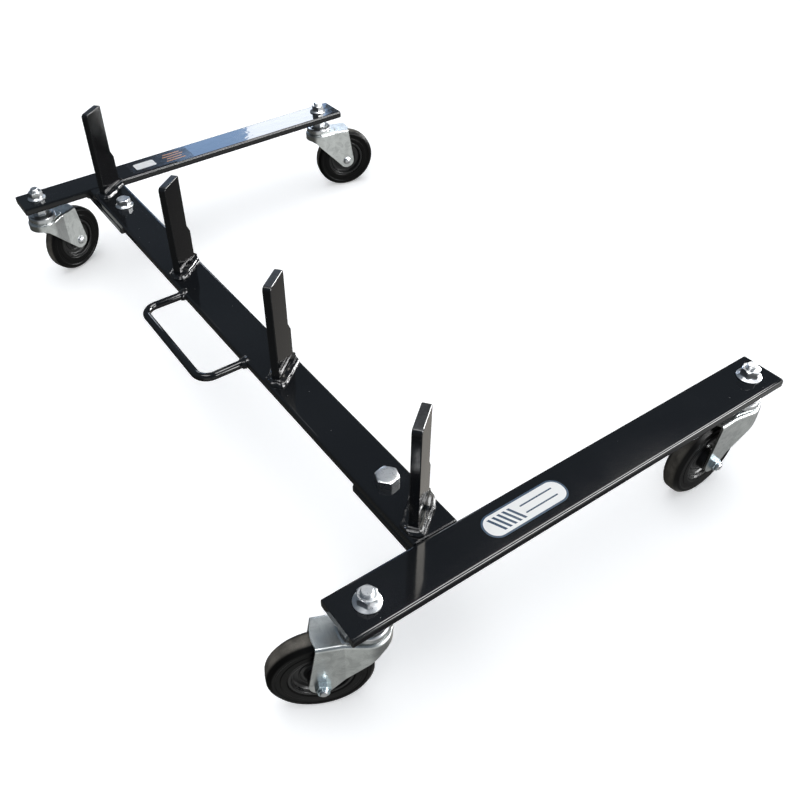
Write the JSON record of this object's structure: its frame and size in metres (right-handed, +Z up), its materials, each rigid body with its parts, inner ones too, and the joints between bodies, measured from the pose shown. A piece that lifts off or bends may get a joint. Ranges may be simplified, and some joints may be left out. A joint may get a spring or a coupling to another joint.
{
  "type": "engine stand",
  "caption": "Low dolly stand for an engine or gearbox: flat steel frame, stepped upright blades, U-shaped grab handle and swivel casters.",
  "frame": {"origin": "centre of the foot of the bounding box, on the floor", "axes": "+X along the main bar towards the front cross bar, +Y towards the long side of the cross bars, +Z up"},
  "size_m": [0.9398, 0.6802, 0.27],
  "materials": {
    "black_coat": "gloss black powder coat",
    "zinc_sheet": "satin bright zinc plate",
    "zinc_fastener": "bright zinc plate",
    "bearing_steel": "greased polished steel",
    "tyre_rubber": "satin black rubber",
    "wheel_plastic": "satin black moulding",
    "bush_plastic": "natural nylon",
    "label_film": "gloss printed film"
  },
  "bodies": {
    "frame": {"front_cross_bar": "black_coat", "rear_cross_bar": "black_coat", "main_bar": "black_coat", "front_stub_plate": "black_coat", "rear_stub_plate": "black_coat", "stub_welds": "black_coat", "grab_handle": "black_coat", "handle_welds": "black_coat", "front_joint_bolt": "zinc_fastener", "rear_joint_bolt": "zinc_fastener", "joint_washers": "zinc_fastener", "joint_nuts": "zinc_fastener", "front_label": "label_film", "rear_label": "label_film", "upright_1": "black_coat", "upright_2": "black_coat", "upright_3": "black_coat", "upright_4": "black_coat", "upright_welds": "black_coat", "front_right_stem": "zinc_fastener", "front_left_stem": "zinc_fastener", "rear_right_stem": "zinc_fastener", "rear_left_stem": "zinc_fastener", "stem_nuts": "zinc_fastener", "upper_races": "zinc_sheet", "lower_races": "zinc_sheet"},
    "front_right_swivel": {"front_right_fork": "zinc_sheet", "front_right_swivel_balls": "bearing_steel", "front_right_axle_bolt": "zinc_fastener", "front_right_axle_nut": "zinc_fastener", "front_right_axle_sleeve": "zinc_fastener"},
    "front_right_wheel": {"front_right_tyre": "tyre_rubber", "front_right_wheel_core": "wheel_plastic", "front_right_hub_bushes": "bush_plastic"},
    "front_left_swivel": {"front_left_fork": "zinc_sheet", "front_left_swivel_balls": "bearing_steel", "front_left_axle_bolt": "zinc_fastener", "front_left_axle_nut": "zinc_fastener", "front_left_axle_sleeve": "zinc_fastener"},
    "front_left_wheel": {"front_left_tyre": "tyre_rubber", "front_left_wheel_core": "wheel_plastic", "front_left_hub_bushes": "bush_plastic"},
    "rear_right_swivel": {"rear_right_fork": "zinc_sheet", "rear_right_swivel_balls": "bearing_steel", "rear_right_axle_bolt": "zinc_fastener", "rear_right_axle_nut": "zinc_fastener", "rear_right_axle_sleeve": "zinc_fastener"},
    "rear_right_wheel": {"rear_right_tyre": "tyre_rubber", "rear_right_wheel_core": "wheel_plastic", "rear_right_hub_bushes": "bush_plastic"},
    "rear_left_swivel": {"rear_left_fork": "zinc_sheet", "rear_left_swivel_balls": "bearing_steel", "rear_left_axle_bolt": "zinc_fastener", "rear_left_axle_nut": "zinc_fastener", "rear_left_axle_sleeve": "zinc_fastener"},
    "rear_left_wheel": {"rear_left_tyre": "tyre_rubber", "rear_left_wheel_core": "wheel_plastic", "rear_left_hub_bushes": "bush_plastic"}
  },
  "joints": [
    {"name": "front_right_swivel_turn", "type": "hinge", "parent": "frame", "child": "front_right_swivel", "pos_m": [0.44207, -0.24955, 0.11208], "axis": [0, 0, 1], "continuous": true},
    {"name": "front_right_wheel_roll", "type": "hinge", "parent": "front_right_swivel", "child": "front_right_wheel", "pos_m": [0.42382, -0.29112, 0.0508], "axis": [0.9157, -0.4019, 0], "continuous": true},
    {"name": "front_left_swivel_turn", "type": "hinge", "parent": "frame", "child": "front_left_swivel", "pos_m": [0.44207, 0.25205, 0.11208], "axis": [0, 0, 1], "continuous": true},
    {"name": "front_left_wheel_roll", "type": "hinge", "parent": "front_left_swivel", "child": "front_left_wheel", "pos_m": [0.44247, 0.20665, 0.0508], "axis": [1, 0.0087, 0], "continuous": true},
    {"name": "rear_right_swivel_turn", "type": "hinge", "parent": "frame", "child": "rear_right_swivel", "pos_m": [-0.42153, -0.25555, 0.11208], "axis": [0, 0, 1], "continuous": true},
    {"name": "rear_right_wheel_roll", "type": "hinge", "parent": "rear_right_swivel", "child": "rear_right_wheel", "pos_m": [-0.44072, -0.21441, 0.0508], "axis": [-0.9063, -0.4226, 0], "continuous": true},
    {"name": "rear_left_swivel_turn", "type": "hinge", "parent": "frame", "child": "rear_left_swivel", "pos_m": [-0.42153, 0.24605, 0.11208], "axis": [0, 0, 1], "continuous": true},
    {"name": "rear_left_wheel_roll", "type": "hinge", "parent": "rear_left_swivel", "child": "rear_left_wheel", "pos_m": [-0.40902, 0.28969, 0.0508], "axis": [-0.9613, 0.2756, 0], "continuous": true}
  ]
}
